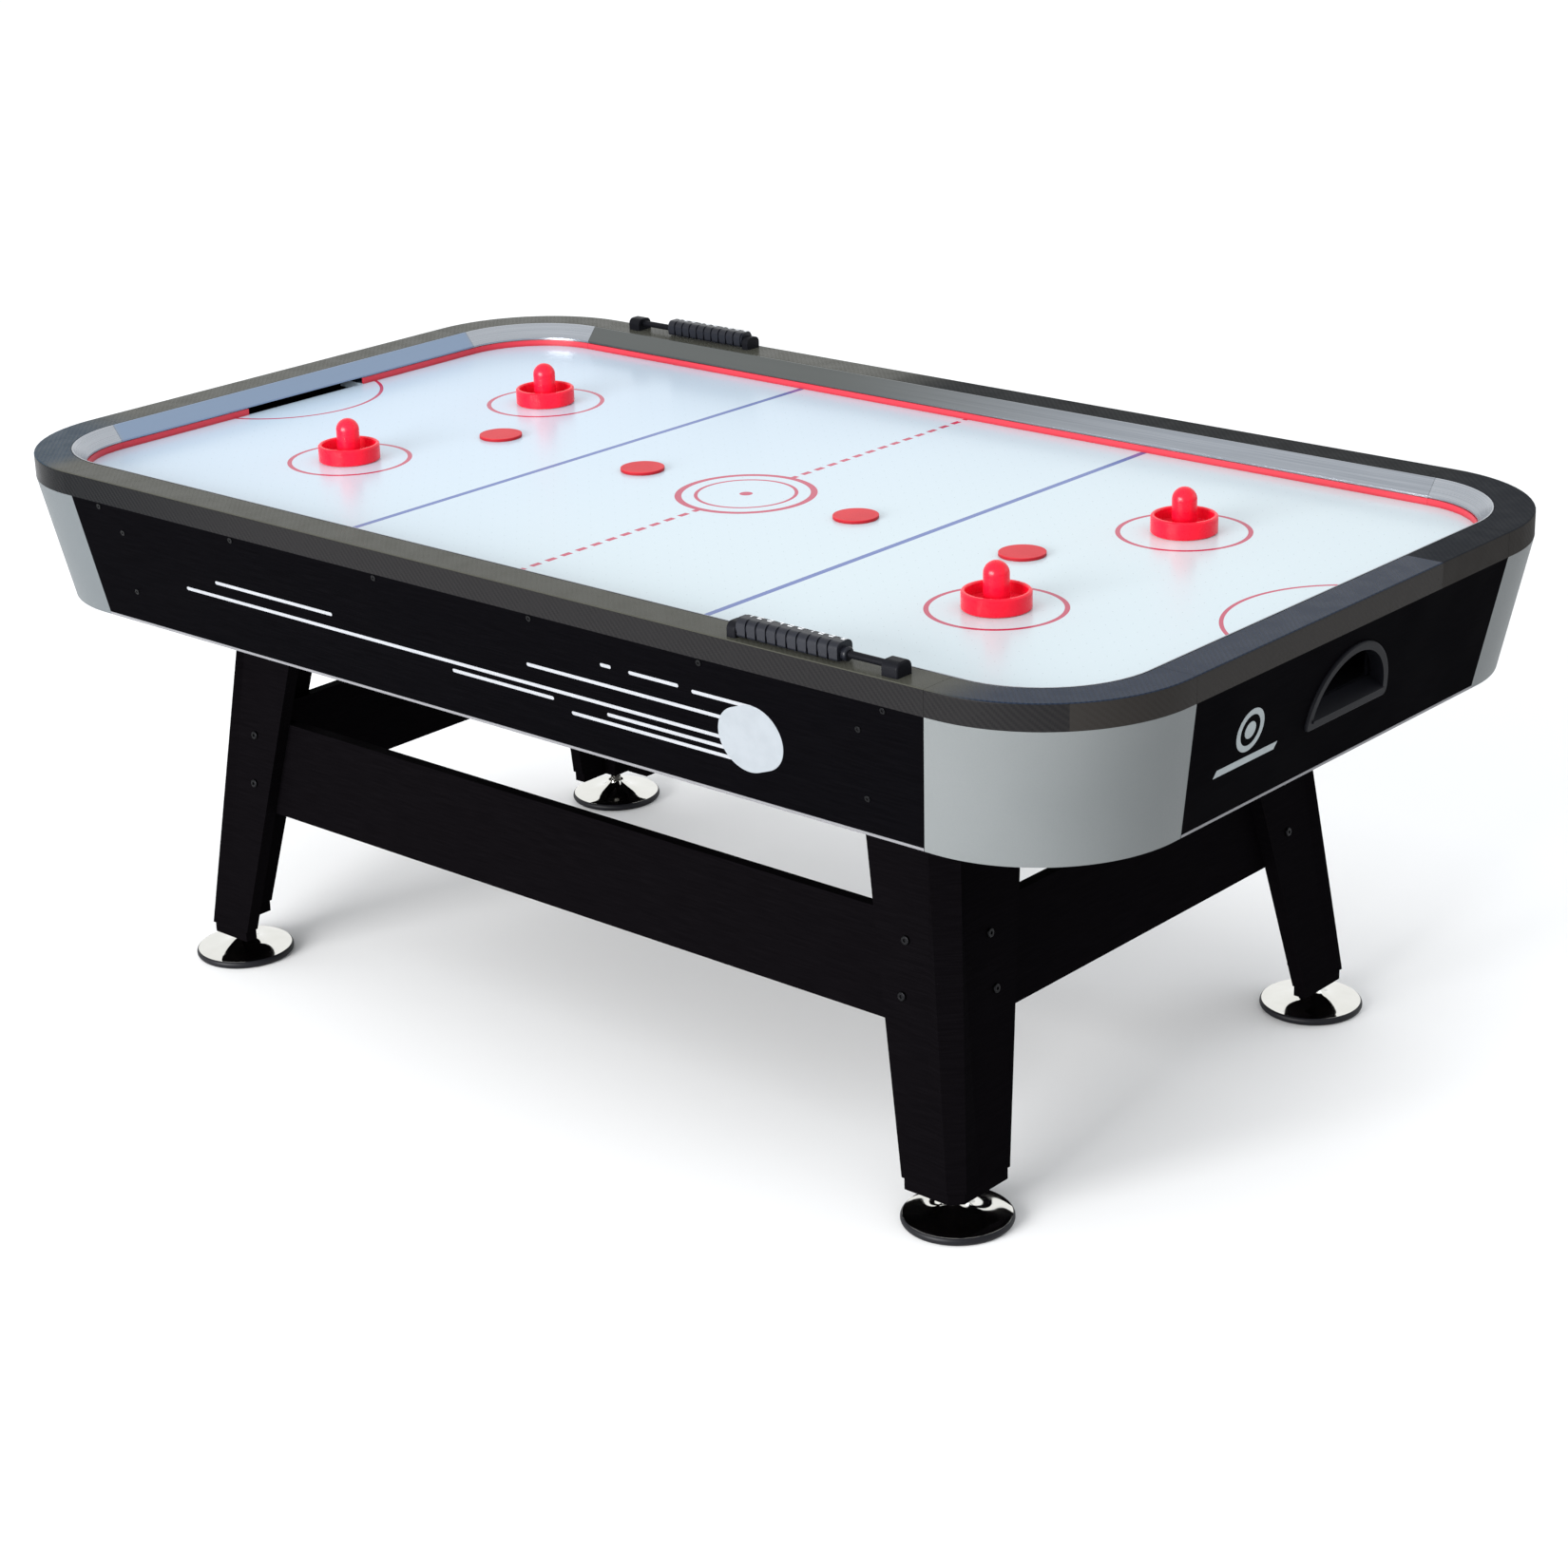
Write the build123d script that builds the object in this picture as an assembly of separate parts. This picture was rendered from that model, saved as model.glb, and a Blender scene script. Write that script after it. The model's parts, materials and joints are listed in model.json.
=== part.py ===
"""Home air hockey table, seven foot class, as an assembly of separate pieces.

Millimetres, +Z up. The origin is on the floor under the middle of the table, X runs along
the length from goal to goal, and -Y is the long side with the speed-line graphic.
"""
from build123d import *
from math import cos, hypot, radians, sin
import os

# ---- driving dimensions -------------------------------------------------------------
LENGTH = 2140.0           # over the top rails
WIDTH = 1220.0
HEIGHT = 828.0            # floor to rail top
RAIL_WIDTH = 58.0
RAIL_HEIGHT = 36.0
CORNER_RADIUS = 221.0     # outer corner of the rails
BUMPER_LEAN = 22.0        # the bumper face leans in by this much over the rail height
CAP_STRAIGHT = 15.0       # straight run at each end of a corner piece, past the arc
JOINT_GAP = 0.4           # seam between neighbouring rail pieces

BOARD = 12.0              # playfield board thickness
AIR_GAP = 38.0            # height of the air chamber
FLOOR_BOARD = 9.0         # chamber floor and bottom panel thickness
CHAMBER_LENGTH = 1860.0
CHAMBER_WIDTH = 1000.0
RIB = 18.0

APRON = 15.0              # apron board thickness
APRON_BOTTOM = 600.0      # height of the cabinet's lower edge
APRON_IN_X = 36.0         # how far the end aprons lean in at the bottom
APRON_IN_Y = 31.0         # the same for the long aprons
SHELL = 6.0               # corner shell thickness
SHELL_FOOT_RADIUS = 211.0  # corner shell radius at the bottom
SHELL_FOOT_STRAIGHT = 16.0

GOAL_WIDTH = 254.0
GOAL_HEIGHT = 11.0
GOAL_EDGE = 992.0         # where the playfield ends inside the goal
STRIP_HEIGHT = 10.0
STRIP = 4.0

LEG_BOARD = 22.0
LEG_FOOT_Z = 45.0
LEG_END = 17.0                  # the inset section at the bottom of a leg
LEG_END_INSET = 4.0
LEG_TOP = (705.0, 414.5)        # outer corner of a leg at its top, X and Y
LEG_FOOT = (774.4, 480.0)       # outer corner of a leg at its foot
LEG_EDGE_TOP = (563.5, 242.6)   # free edges of the front board (X) and side board (Y)
LEG_EDGE_FOOT = (680.0, 367.0)
# corner moulding of a leg: how far its flat stands out and reaches in, and its shoulders
MOULDING_TOP = (11.0, 21.0, 24.0)
MOULDING_FOOT = (2.5, 16.0, 48.0)
STRETCHER = 18.0
STRETCHER_Z = (264.0, 414.0)
BLOCK = (25.0, 35.0)      # wooden blocks inside a leg's corner
BLOCK_HEIGHT = 70.0
BOLT_Z = (314.0, 392.0)
BOLT_FRONT_X = 659.0
BOLT_SIDE_Y = 352.0

FOOT = (738.0, 435.0)     # centre of a levelling foot
PAD_RADIUS = 78.0
PAD_TOP = 34.0
STEM_RADIUS = 5.0
RUNNING_FIT = 0.08        # radial clearance of a shaft in its bore

MALLET_SPOT = (641.0, 217.0)
MALLET_RADIUS = 48.0
MALLET_HEIGHT = 66.0
MALLET_KNOB = 18.0
PUCK_RADIUS = 34.0
PUCK_HEIGHT = 5.0
PUCK_SPOTS = ((-543.0, 18.0), (-219.0, 6.0), (216.0, -2.0), (523.0, -6.0))

SCORER_LEFT = (506.0, 520.0)   # end brackets of the front scorer, along X
SCORER_RIGHT = (761.0, 786.0)
SCORER_Y = -586.0
SCORER_WIDTH = 30.0
SCORER_HEIGHT = 20.0
SCORER_AXIS = 11.0        # rod height above the rail
SCORER_ROD = 5.0
BEADS = 10
BEAD = 17.0               # bead pitch
BEAD_GAP = 0.3
BEAD_LOW = 2.5            # underside and top of a bead above the rail
BEAD_HIGH = 27.0
COLLAR_RADIUS = 9.5
COLLAR = 8.0

POCKET_WIDTH = 170.0      # opening of a puck pocket
POCKET_Z = (680.0, 757.0)
POCKET_BEZEL = 12.0
POCKET_WALL = 3.0
GOAL_BOX_X = (945.0, 1031.0)
GOAL_BOX_FLOOR = 694.0
GOAL_BOX_HALF = 133.0
GOAL_BOX_WALL = 3.0
GOAL_BOX_WINDOW = (78.0, 748.0)    # half width and top edge

INLET_X = 640.0           # power inlet on the back apron, from the middle
INLET_Z = 690.0
ROCKER_X = 14.0           # rocker switch in the inlet panel

BLOWER_Z = 668.0          # height of the fan shaft
FAN_RADIUS = 42.0
FAN_WIDTH = 40.0
SCROLL_RADIUS = 52.0
SCROLL_WIDTH = 50.0
SCROLL_WALL = 2.5
OUTLET = 46.0             # blower outlet, square

# ---- derived dimensions -------------------------------------------------------------
HALF_L = LENGTH / 2
HALF_W = WIDTH / 2
FIELD_Z = HEIGHT - RAIL_HEIGHT
BOARD_Z = FIELD_Z - BOARD
CHAMBER_Z = BOARD_Z - AIR_GAP
ARC_X = HALF_L - CORNER_RADIUS
ARC_Y = HALF_W - CORNER_RADIUS
JOINT_X = ARC_X - CAP_STRAIGHT
JOINT_Y = ARC_Y - CAP_STRAIGHT
FIELD_X = HALF_L - RAIL_WIDTH - BUMPER_LEAN
FIELD_Y = HALF_W - RAIL_WIDTH - BUMPER_LEAN
FIELD_RADIUS = CORNER_RADIUS - RAIL_WIDTH - BUMPER_LEAN
APRON_DROP = FIELD_Z - APRON_BOTTOM
OUTLET_X = SCROLL_RADIUS - SCROLL_WALL - OUTLET / 2
QUADRANTS = {"front_right": (1, -1), "back_right": (1, 1), "front_left": (-1, -1), "back_left": (-1, 1)}


# ---- helpers ------------------------------------------------------------------------
def block(x0, x1, y0, y1, z0, z1):
    """A box between two corners."""
    return Pos((x0 + x1) / 2, (y0 + y1) / 2, (z0 + z1) / 2) * Box(x1 - x0, y1 - y0, z1 - z0)


def rod(radius, z0, z1):
    """A cylinder on the local Z axis."""
    return Pos(0, 0, (z0 + z1) / 2) * Cylinder(radius, z1 - z0)


def to_quadrant(shape, sign_x, sign_y):
    """Move a shape made in the front right quadrant to another one by mirroring."""
    if sign_x < 0:
        shape = mirror(shape, about=Plane.YZ)
    if sign_y > 0:
        shape = mirror(shape, about=Plane.XZ)
    return shape


def turned(shape):
    """The same shape on the opposite side of the table: the table has two-fold symmetry."""
    return Rot(0, 0, 180) * shape


def polygon(points, z):
    """A flat face through the given corners at height z."""
    return make_face(Polyline([(x, y, z) for x, y in points], close=True))


def taper(section, z0, z1):
    """A solid with straight sides between a section at z0 and the same section at z1."""
    return loft([polygon(section(z0), z0), polygon(section(z1), z1)], ruled=True)


def along(z, z0, z1, low, high):
    """The value at height z of a line from low at z0 to high at z1."""
    return low + (high - low) * (z - z0) / (z1 - z0)


def solids_of(shape):
    return shape.solids() if hasattr(shape, "solids") else [shape]


def save(node, *shapes):
    """Write one node, as one solid or as a group of separate solids."""
    solids = [s for shape in shapes for s in solids_of(shape)]
    body = solids[0] if len(solids) == 1 else Compound(children=solids)
    export_step(body, os.path.join("parts", node + ".step"))


# ---- planes of the leaning aprons ---------------------------------------------------
def apron_plane(side):
    """Local X along the apron, local Y up its slope, local Z outward; origin at its top edge."""
    lean = APRON_IN_X if side in ("right", "left") else APRON_IN_Y
    slope = hypot(lean, APRON_DROP)
    out, down = APRON_DROP / slope, -lean / slope
    if side == "front":
        return Plane((0, -HALF_W, FIELD_Z), x_dir=(1, 0, 0), z_dir=(0, -out, down))
    return Plane((HALF_L, 0, FIELD_Z), x_dir=(0, 1, 0), z_dir=(out, 0, down))


def slope_at(z, lean):
    """Distance down an apron's slope, as a negative local Y, for a height z."""
    return (z - FIELD_Z) * hypot(lean, APRON_DROP) / APRON_DROP


def apron_inner(z, lean, half):
    """Where an apron's inner face is at height z, from the table's middle."""
    outer = half - lean * (FIELD_Z - z) / APRON_DROP
    return outer - APRON * hypot(lean, APRON_DROP) / APRON_DROP


# ---- cabinet ------------------------------------------------------------------------
def apron_blank(side):
    """An apron board: a leaning board with sloping ends, its top and bottom edges level."""
    if side == "front":
        lean, top, foot = APRON_IN_Y, JOINT_X, HALF_L - APRON_IN_X - SHELL_FOOT_RADIUS - SHELL_FOOT_STRAIGHT
    else:
        lean, top, foot = APRON_IN_X, JOINT_Y, HALF_W - APRON_IN_Y - SHELL_FOOT_RADIUS - SHELL_FOOT_STRAIGHT
    spare = 10.0
    low, high = slope_at(APRON_BOTTOM - spare, lean), slope_at(FIELD_Z + spare, lean)
    wide_high = along(FIELD_Z + spare, APRON_BOTTOM, FIELD_Z, foot, top)
    wide_low = along(APRON_BOTTOM - spare, APRON_BOTTOM, FIELD_Z, foot, top)
    outline = Polyline([(-wide_low, low), (wide_low, low), (wide_high, high), (-wide_high, high)], close=True)
    board = extrude(make_face(outline), -APRON)
    slab = block(-HALF_L, HALF_L, -HALF_W, HALF_W, APRON_BOTTOM, FIELD_Z)
    return (apron_plane(side) * board) & slab


def screw(radius, head, shank, length):
    """A pan-head screw: the head stands on the local XY plane, the shank goes down."""
    cap = rod(radius, 0, head)
    cap = fillet(cap.edges().group_by(Axis.Z)[-1], head * 0.45)
    drive = extrude(RegularPolygon(radius * 0.42, 6), -head * 0.5)
    return cap - Pos(0, 0, head) * drive + rod(shank, -length, 0)


def apron_screws():
    """Screws of the front apron: a row under the rail and a pair at each batten."""
    spots = [(x, FIELD_Z - 5.5) for x in (-769, -463, -154, 154, 463, 769)]
    spots += [(x, z) for x in (-724, 724) for z in (654, 751)]
    plane = apron_plane("front")
    return [plane * Pos(x, slope_at(z, APRON_IN_Y), 0) * screw(4.5, 1.6, 1.9, APRON - 1) for x, z in spots]


def corner_path(radius, straight, drop, lean_x, lean_y, z):
    """The outer line of a corner piece at height z, from the long side round to the end."""
    x, y = HALF_L - lean_x, HALF_W - lean_y
    cx, cy = x - radius, y - radius
    r = radius - drop
    start = (cx - straight, -cy - r, z)
    mid = (cx + r * sin(radians(45)), -cy - r * cos(radians(45)), z)
    line_a = Line(start, (cx, -cy - r, z))
    arc = ThreePointArc((cx, -cy - r, z), mid, (cx + r, -cy, z))
    line_b = Line((cx + r, -cy, z), (cx + r, -cy + straight, z))
    return line_a, arc, line_b


def corner_ring(radius, straight, thickness, lean_x, lean_y, z):
    """A closed face between the outer line of a corner piece and the same line further in."""
    outer = corner_path(radius, straight, 0, lean_x, lean_y, z)
    inner = corner_path(radius, straight, thickness, lean_x, lean_y, z)
    cap_a = Line(outer[0] @ 0, inner[0] @ 0)
    cap_b = Line(outer[2] @ 1, inner[2] @ 1)
    return make_face([*outer, *inner, cap_a, cap_b])


def corner_shell():
    """The moulded shell that wraps a cabinet corner and narrows to the bottom."""
    foot = corner_ring(SHELL_FOOT_RADIUS, SHELL_FOOT_STRAIGHT, SHELL, APRON_IN_X, APRON_IN_Y, APRON_BOTTOM)
    top = corner_ring(CORNER_RADIUS, CAP_STRAIGHT, SHELL, 0, 0, FIELD_Z)
    return loft([foot, top], ruled=True)


def rounded_board(half_x, half_y, radius, z0, z1):
    """A board with rounded corners."""
    return Pos(0, 0, z0) * extrude(RectangleRounded(2 * half_x, 2 * half_y, radius), z1 - z0)


def battens():
    """Vertical battens behind the long aprons, under their screw pairs."""
    def section(z):
        y = apron_inner(z, APRON_IN_Y, HALF_W)
        return [(704, -y), (744, -y), (744, -y + 38), (704, -y + 38)]
    one = taper(section, APRON_BOTTOM + FLOOR_BOARD, BOARD_Z)
    return [to_quadrant(one, sx, sy) for sx, sy in QUADRANTS.values()]


# ---- playfield and air chamber ------------------------------------------------------
def playfield_board():
    """The playing board, notched at each goal so that a puck can drop."""
    board = rounded_board(HALF_L - 20, HALF_W - 20, CORNER_RADIUS - 20, BOARD_Z, FIELD_Z)
    notch = block(GOAL_EDGE, HALF_L, -GOAL_WIDTH / 2, GOAL_WIDTH / 2, BOARD_Z - 1, FIELD_Z + 1)
    return board - notch - turned(notch)


def chamber_floor():
    floor = block(-CHAMBER_LENGTH / 2, CHAMBER_LENGTH / 2, -CHAMBER_WIDTH / 2, CHAMBER_WIDTH / 2,
                  CHAMBER_Z - FLOOR_BOARD, CHAMBER_Z)
    return floor - Pos(OUTLET_X, 0, CHAMBER_Z) * Box(OUTLET, OUTLET, 4 * FLOOR_BOARD)


def chamber_ribs():
    """Four walls of the air chamber and cross ribs that stop short, so air passes over them."""
    x, y = CHAMBER_LENGTH / 2, CHAMBER_WIDTH / 2
    long_rib = block(-x, x, -y, -y + RIB, CHAMBER_Z, BOARD_Z)
    end_rib = block(x - RIB, x, -y + RIB, y - RIB, CHAMBER_Z, BOARD_Z)
    half, short = RIB / 2, y - 60
    cross = [block(c - half, c + half, -short, short, CHAMBER_Z, BOARD_Z) for c in (-620, -310, 310, 620)]
    return [long_rib, turned(long_rib), end_rib, turned(end_rib), *cross]


def bottom_panel():
    """The panel that closes the cabinet below, with a slotted air intake under the blower."""
    x = apron_inner(APRON_BOTTOM, APRON_IN_X, HALF_L) - 1
    y = apron_inner(APRON_BOTTOM, APRON_IN_Y, HALF_W) - 1
    panel = rounded_board(x, y, SHELL_FOOT_RADIUS - 20, APRON_BOTTOM, APRON_BOTTOM + FLOOR_BOARD)
    slot = extrude(SlotOverall(160, 8), 4 * FLOOR_BOARD, both=True)
    for row in range(9):
        panel -= Pos(0, (row - 4) * 18, APRON_BOTTOM) * slot
    return panel


# ---- rails, bumpers and goals -------------------------------------------------------
def goal_slot():
    """The space a puck passes through under the bumper and the end rail, and drops from."""
    half = GOAL_WIDTH / 2
    return block(FIELD_X - 10, HALF_L - 18, -half, half, FIELD_Z - 1, FIELD_Z + GOAL_HEIGHT)


def long_rail():
    rail = block(-JOINT_X + JOINT_GAP, JOINT_X - JOINT_GAP, -HALF_W, -HALF_W + RAIL_WIDTH, FIELD_Z, HEIGHT)
    return fillet(rail.edges().filter_by(Axis.X).group_by(Axis.Z)[-1], 2.5)


def end_rail():
    rail = block(HALF_L - RAIL_WIDTH, HALF_L, -JOINT_Y + JOINT_GAP, JOINT_Y - JOINT_GAP, FIELD_Z, HEIGHT)
    rail = fillet(rail.edges().filter_by(Axis.Y).group_by(Axis.Z)[-1], 2.5)
    return rail - goal_slot()


def rail_cap():
    """The rounded rail piece at a corner."""
    ring = corner_ring(CORNER_RADIUS, CAP_STRAIGHT, RAIL_WIDTH, 0, 0, FIELD_Z)
    cap = extrude(ring, RAIL_HEIGHT, dir=(0, 0, 1))
    rims = [e for e in cap.edges().group_by(Axis.Z)[-1] if not RAIL_WIDTH / 2 <= e.length <= 2 * RAIL_WIDTH]
    return fillet(rims, 2.5)


def bumper_profile():
    """Section of the aluminium bumper: X outward from the field's edge, Y up from the field."""
    high, wide = RAIL_HEIGHT, BUMPER_LEAN
    nose = STRIP_HEIGHT + 1.5
    face = [(wide - 2, high), (1.5, nose + 2.5), (1.5, nose)]
    outer = [(STRIP, 0), (wide, 0), (wide, high), *face, (STRIP, nose)]
    hollow = [(STRIP + 2, 2), (wide - 2, 2), (wide - 2, high - 6), (STRIP + 2, nose + 2)]
    return make_face(Polyline(outer, close=True)) - make_face(Polyline(hollow, close=True))


def strip_profile():
    return make_face(Polyline([(0, 0), (STRIP, 0), (STRIP, STRIP_HEIGHT), (0, STRIP_HEIGHT)], close=True))


def on_long_side(profile, half_run):
    """Run a bumper section along the front of the field."""
    plane = Plane((-half_run, -FIELD_Y, FIELD_Z), x_dir=(0, -1, 0), z_dir=(1, 0, 0))
    if plane.y_dir.Z < 0:
        plane = Plane((half_run, -FIELD_Y, FIELD_Z), x_dir=(0, -1, 0), z_dir=(-1, 0, 0))
    return extrude(plane * profile, 2 * half_run)


def on_end(profile, y0, y1):
    """Run a bumper section along the +X end of the field."""
    plane = Plane((FIELD_X, y1, FIELD_Z), x_dir=(1, 0, 0), z_dir=(0, -1, 0))
    return extrude(plane * profile, y1 - y0)


def round_corner(profile):
    """Turn a bumper section through a quarter round the field's front right corner."""
    plane = Plane((FIELD_RADIUS, 0, 0), x_dir=(1, 0, 0), z_dir=(0, -1, 0))
    quarter = revolve(plane * profile, Axis.Z, -90)
    return Pos(ARC_X, -ARC_Y, FIELD_Z) * quarter


def bumpers():
    """Straight bumpers: two long ones and two short ones with the goal slot cut out."""
    side = on_long_side(bumper_profile(), ARC_X - JOINT_GAP)
    end = on_end(bumper_profile(), -ARC_Y + JOINT_GAP, ARC_Y - JOINT_GAP) - goal_slot()
    return [side, turned(side), end, turned(end)]


def corner_bumpers():
    return [to_quadrant(round_corner(bumper_profile()), sx, sy) for sx, sy in QUADRANTS.values()]


def cushion_strips():
    """Red strips along the foot of every bumper, open at the goals."""
    side = on_long_side(strip_profile(), ARC_X - JOINT_GAP)
    corner = round_corner(strip_profile())
    short = on_end(strip_profile(), -ARC_Y + JOINT_GAP, -GOAL_WIDTH / 2)
    pieces = [side, turned(side)]
    for sx, sy in QUADRANTS.values():
        pieces += [to_quadrant(corner, sx, sy), to_quadrant(short, sx, sy)]
    return pieces


def goal_box():
    """An open box below the goal that catches the puck; its outer wall has a window."""
    (x0, x1), half, floor, wall = GOAL_BOX_X, GOAL_BOX_HALF, GOAL_BOX_FLOOR, GOAL_BOX_WALL
    wide, high = GOAL_BOX_WINDOW
    outer = block(x0, x1, -half, half, floor, BOARD_Z)
    inside = block(x0 + wall, x1 - wall, -half + wall, half - wall, floor + wall, BOARD_Z + 1)
    window = block(x1 - 2 * wall, x1 + 1, -wide, wide, floor + wall, high)
    return outer - inside - window


def dome(width, foot, top):
    """An arch outline: a straight foot and a round top, in the plane of an end apron."""
    rise = top - foot
    half = width / 2
    base = Line((-half, foot), (half, foot))
    arch = ThreePointArc((half, foot), (0, foot + rise), (-half, foot))
    return make_face([base, arch])


def pocket_levels():
    return [slope_at(z, APRON_IN_X) for z in POCKET_Z]


def pocket():
    """Moulded puck pocket: an arched bezel on the end apron, a throat and a sloping lip."""
    foot, top = pocket_levels()
    edge, wall, deep = POCKET_BEZEL, POCKET_WALL, APRON + POCKET_WALL
    bezel = extrude(dome(POCKET_WIDTH + 2 * edge, foot - edge, top + edge), 4)
    bezel = fillet(bezel.edges().filter_by(Axis.Z), 9)
    bezel = fillet(bezel.edges().group_by(Axis.Z)[-1], 2.5)
    throat = extrude(dome(POCKET_WIDTH + 2 * wall, foot - wall, top + wall), -deep)
    hole = extrude(dome(POCKET_WIDTH, foot, top), 40, both=True)
    lip_points = [(0, foot - wall), (6, foot), (6, foot + 3), (-deep, foot + 13), (-deep, foot - wall)]
    lip_plane = Plane((POCKET_WIDTH / 2, 0, 0), x_dir=(0, 0, 1), z_dir=(-1, 0, 0))
    if lip_plane.y_dir.Y < 0:
        lip_plane = Plane((-POCKET_WIDTH / 2, 0, 0), x_dir=(0, 0, 1), z_dir=(1, 0, 0))
    lip = extrude(lip_plane * make_face(Polyline(lip_points, close=True)), POCKET_WIDTH)
    lip &= extrude(dome(POCKET_WIDTH + 2 * wall, foot - wall, top), 40, both=True)
    return apron_plane("right") * (bezel + throat - hole + lip)


def pocket_window():
    foot, top = pocket_levels()
    outline = dome(POCKET_WIDTH + 2 * POCKET_WALL, foot - POCKET_WALL, top + POCKET_WALL)
    return apron_plane("right") * extrude(outline, 40, both=True)


# ---- scorers ------------------------------------------------------------------------
def place_scorer(shape):
    return Pos(0, SCORER_Y, HEIGHT) * shape


def across(radius, x0, x1):
    """A cylinder along X on the scorer's axis."""
    return Pos((x0 + x1) / 2, 0, SCORER_AXIS) * Rot(0, 90, 0) * Cylinder(radius, x1 - x0)


def scorer_bracket(x0, x1):
    """A low end bracket with a rounded top."""
    post = block(x0, x1, -SCORER_WIDTH / 2, SCORER_WIDTH / 2, 0, SCORER_HEIGHT)
    post = fillet(post.edges().filter_by(Axis.X).group_by(Axis.Z)[-1], 10)
    return fillet(post.faces().sort_by(Axis.X)[-1].edges().group_by(Axis.Z)[-1], 3)


def scorer_frame():
    """Two end brackets and the rod between them that carries the beads."""
    rod_bar = across(SCORER_ROD, SCORER_LEFT[0] + 4, SCORER_RIGHT[1] - 10)
    brackets = [scorer_bracket(*span) - rod_bar for span in (SCORER_LEFT, SCORER_RIGHT)]
    return [place_scorer(piece) for piece in (*brackets, rod_bar)]


def bead():
    """One score bead: a round-topped block with a raised rib and a bore for the rod."""
    half, length = SCORER_WIDTH / 2, BEAD - BEAD_GAP
    core = block(-length / 2, length / 2, -half, half, BEAD_LOW, BEAD_HIGH)
    core = fillet(core.edges().filter_by(Axis.X).group_by(Axis.Z)[-1], 9)
    core = fillet(core.edges().filter_by(Axis.X).group_by(Axis.Z)[0], 4)
    rib = block(-length / 2, 0, -half, half, BEAD_LOW, BEAD_HIGH)
    middle = Pos(0, 0, (BEAD_LOW + BEAD_HIGH) / 2)
    ring = middle * Rot(0, 90, 0) * (Cylinder(30, length) - Cylinder(13.6, length))
    groove = rib & ring & (Pos(-length / 2, 0, 0) * Box(6, 60, 60))
    return core - groove - across(SCORER_ROD + RUNNING_FIT, -BEAD, BEAD)


def score_beads():
    """A row of beads and the collar that closes it."""
    start = SCORER_LEFT[1] + BEAD_GAP
    end = start + BEAD * BEADS
    collar = across(COLLAR_RADIUS, end, end + COLLAR)
    collar = fillet(collar.edges().group_by(Axis.X)[-1], 3)
    collar -= across(SCORER_ROD + RUNNING_FIT, end - BEAD, end + BEAD)
    beads = [Pos(start + BEAD * (i + 0.5), 0, 0) * bead() for i in range(BEADS)]
    return [place_scorer(one) for one in (*beads, collar)]


# ---- legs ---------------------------------------------------------------------------
def leg_corner(z):
    """Outer corner of a leg at height z."""
    return [along(z, LEG_FOOT_Z, APRON_BOTTOM, LEG_FOOT[i], LEG_TOP[i]) for i in (0, 1)]


def leg_edge(z):
    """Free edges of a leg's two boards at height z."""
    return [along(z, LEG_FOOT_Z, APRON_BOTTOM, LEG_EDGE_FOOT[i], LEG_EDGE_TOP[i]) for i in (0, 1)]


def leg_section(z):
    """The L of a leg: a front board and a side board that meet in a moulded corner."""
    (cx, cy), (ex, ey), t = leg_corner(z), leg_edge(z), LEG_BOARD
    moulding = zip(MOULDING_FOOT, MOULDING_TOP)
    out, back, shoulder = [along(z, LEG_FOOT_Z, APRON_BOTTOM, *pair) for pair in moulding]
    corner = [(cx - shoulder, -cy), (cx - back, -cy - out), (cx + out, back - cy), (cx, shoulder - cy)]
    return [(ex, -cy), *corner, (cx, -ey), (cx - t, -ey), (cx - t, t - cy), (ex, t - cy)]


def leg_end_section(z):
    """The same L a little smaller, for the end of a leg; its corner is only bevelled."""
    (cx, cy), (ex, ey), t = leg_corner(LEG_FOOT_Z + LEG_END), leg_edge(LEG_FOOT_Z + LEG_END), LEG_BOARD
    inset, bevel = LEG_END_INSET, MOULDING_FOOT[1]
    left, low, wall = ex + inset, cy - 1, t - 1
    return [(left, -low), (cx - 1 - bevel, -low), (cx - 1, bevel - low), (cx - 1, -ey - inset),
            (cx - t, -ey - inset), (cx - t, wall - low), (left, wall - low)]


def block_section(z):
    """A block in the inner corner of a leg."""
    cx, cy = leg_corner(z)
    x, y = cx - LEG_BOARD, LEG_BOARD - cy
    return [(x - BLOCK[0], y), (x, y), (x, y + BLOCK[1]), (x - BLOCK[0], y + BLOCK[1])]


def leg_normals():
    """Outward normals of a leg's front face and side face."""
    rise = APRON_BOTTOM - LEG_FOOT_Z
    lean_x = (LEG_FOOT[0] - LEG_TOP[0]) / rise
    lean_y = (LEG_FOOT[1] - LEG_TOP[1]) / rise
    return (0, -1, lean_y), (1, 0, lean_x)


def leg_bolts():
    """Four bolts of a leg: two through each board into a stretcher."""
    front, side = leg_normals()
    bolts = []
    for z in BOLT_Z:
        cx, cy = leg_corner(z)
        one = screw(6.5, 3.5, 3.0, LEG_BOARD + STRETCHER - 2)
        bolts.append(Plane((BOLT_FRONT_X, -cy, z), z_dir=front) * one)
        bolts.append(Plane((cx, -BOLT_SIDE_Y, z), z_dir=side) * one)
    return bolts


def leg():
    """One leg, with glued blocks in its corner for the foot and for the cabinet, and the stem's bore."""
    body = taper(leg_section, LEG_FOOT_Z + LEG_END, APRON_BOTTOM)
    body += taper(leg_end_section, LEG_FOOT_Z, LEG_FOOT_Z + LEG_END)
    body += taper(block_section, LEG_FOOT_Z, LEG_FOOT_Z + BLOCK_HEIGHT)
    body += taper(block_section, APRON_BOTTOM - BLOCK_HEIGHT, APRON_BOTTOM)
    bore = rod(STEM_RADIUS + RUNNING_FIT, LEG_FOOT_Z - 1, LEG_FOOT_Z + BLOCK_HEIGHT - 4)
    body -= Pos(FOOT[0], -FOOT[1], 0) * bore
    for bolt in leg_bolts():
        body -= bolt
    return body


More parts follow.
